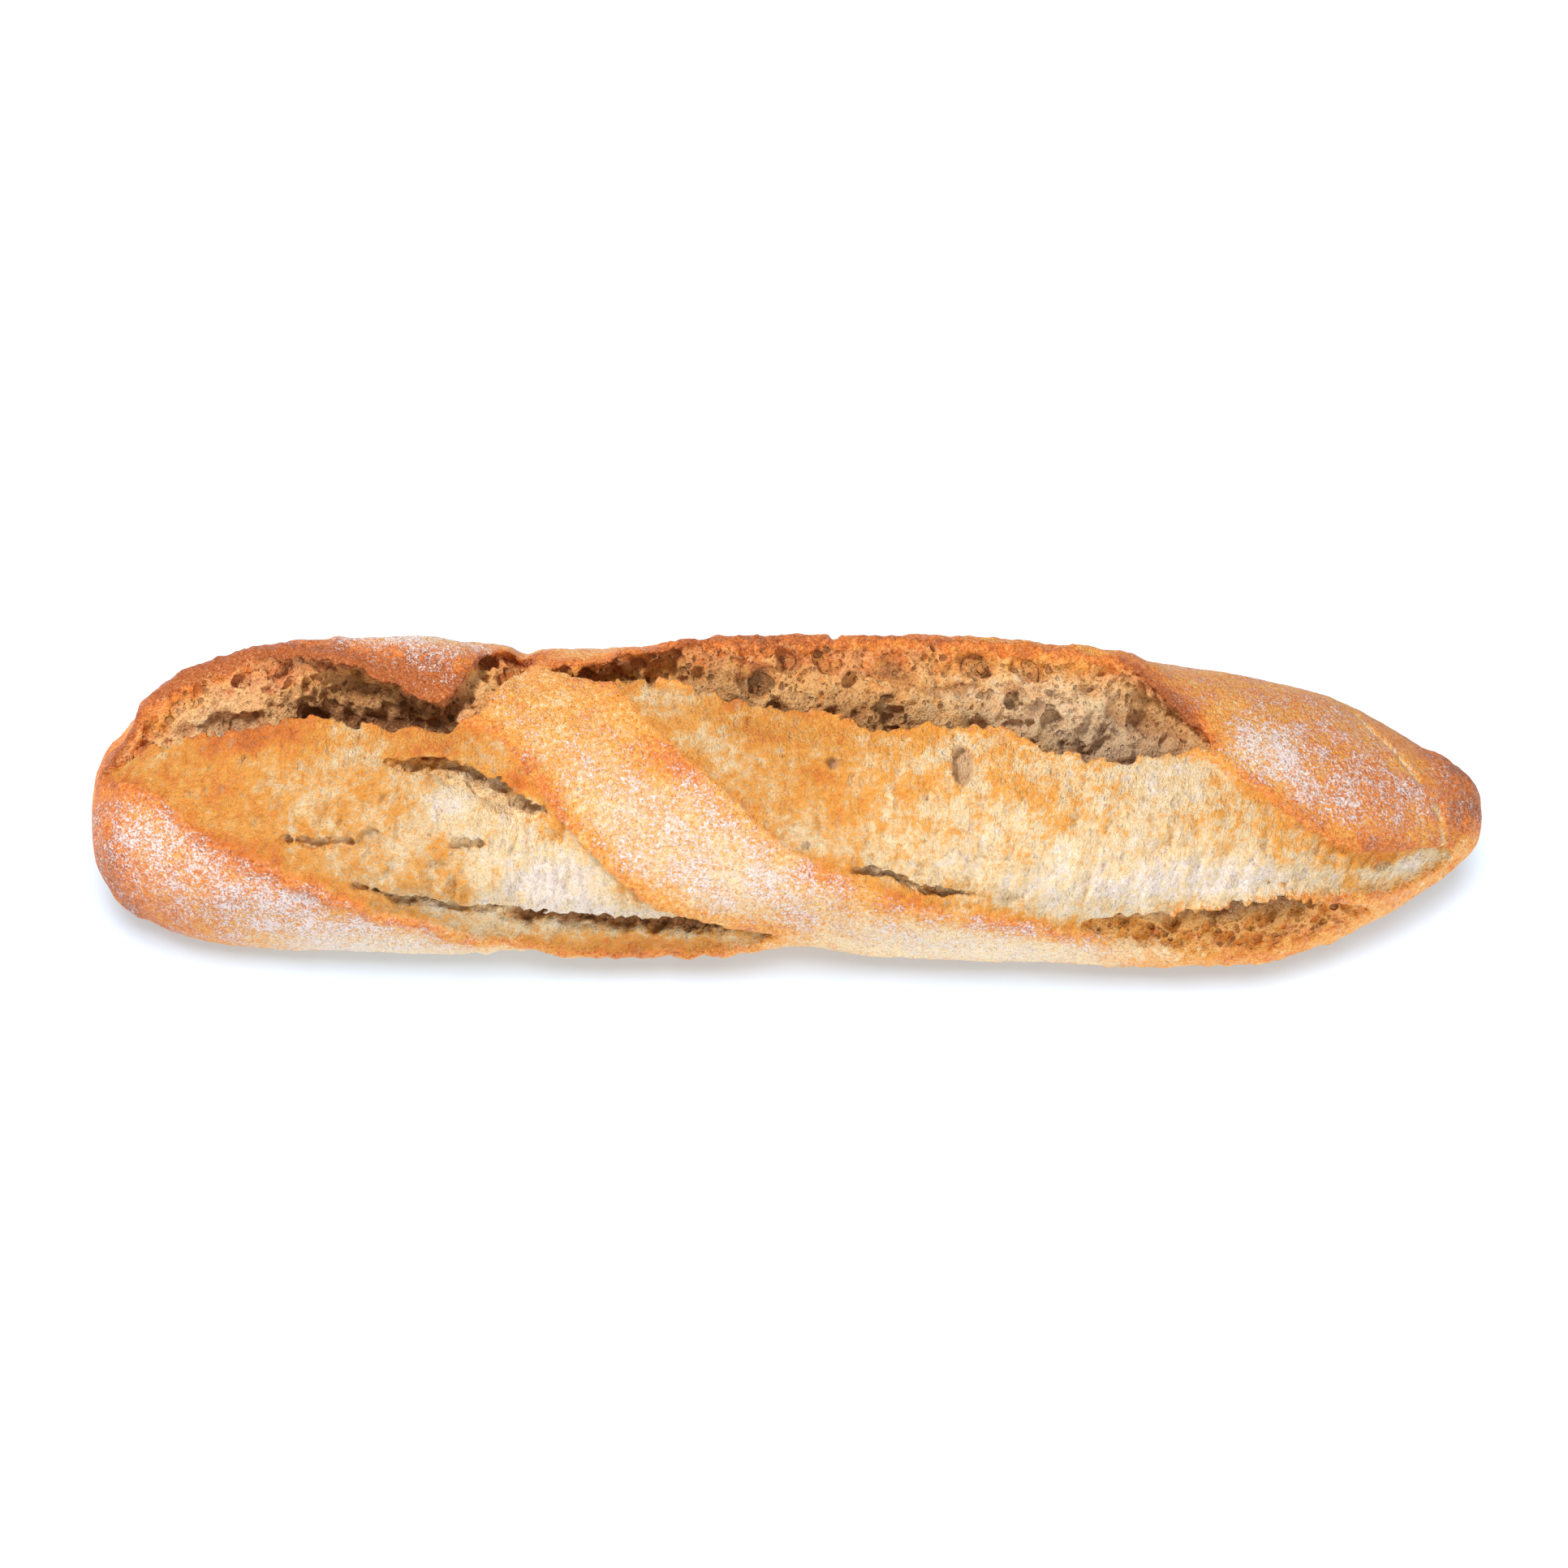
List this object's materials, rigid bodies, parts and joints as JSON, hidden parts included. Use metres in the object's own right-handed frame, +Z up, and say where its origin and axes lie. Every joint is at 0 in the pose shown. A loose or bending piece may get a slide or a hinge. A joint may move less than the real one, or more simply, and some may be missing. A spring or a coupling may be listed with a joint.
{
  "type": "baguette",
  "caption": "Short rustic baguette baked as one piece, with a flat base, two torn slashes, raised ears and open crumb.",
  "frame": {"origin": "on the surface the loaf lies on, under the middle of its length and width", "axes": "+X along the loaf towards its pointed end, +Y to the back where the ears stand, +Z up"},
  "size_m": [0.32, 0.0784, 0.0597],
  "materials": {
    "crust": "matt baked crust dusted with flour, paler where it has torn open"
  },
  "bodies": {
    "root": {"loaf": "crust"}
  },
  "joints": []
}
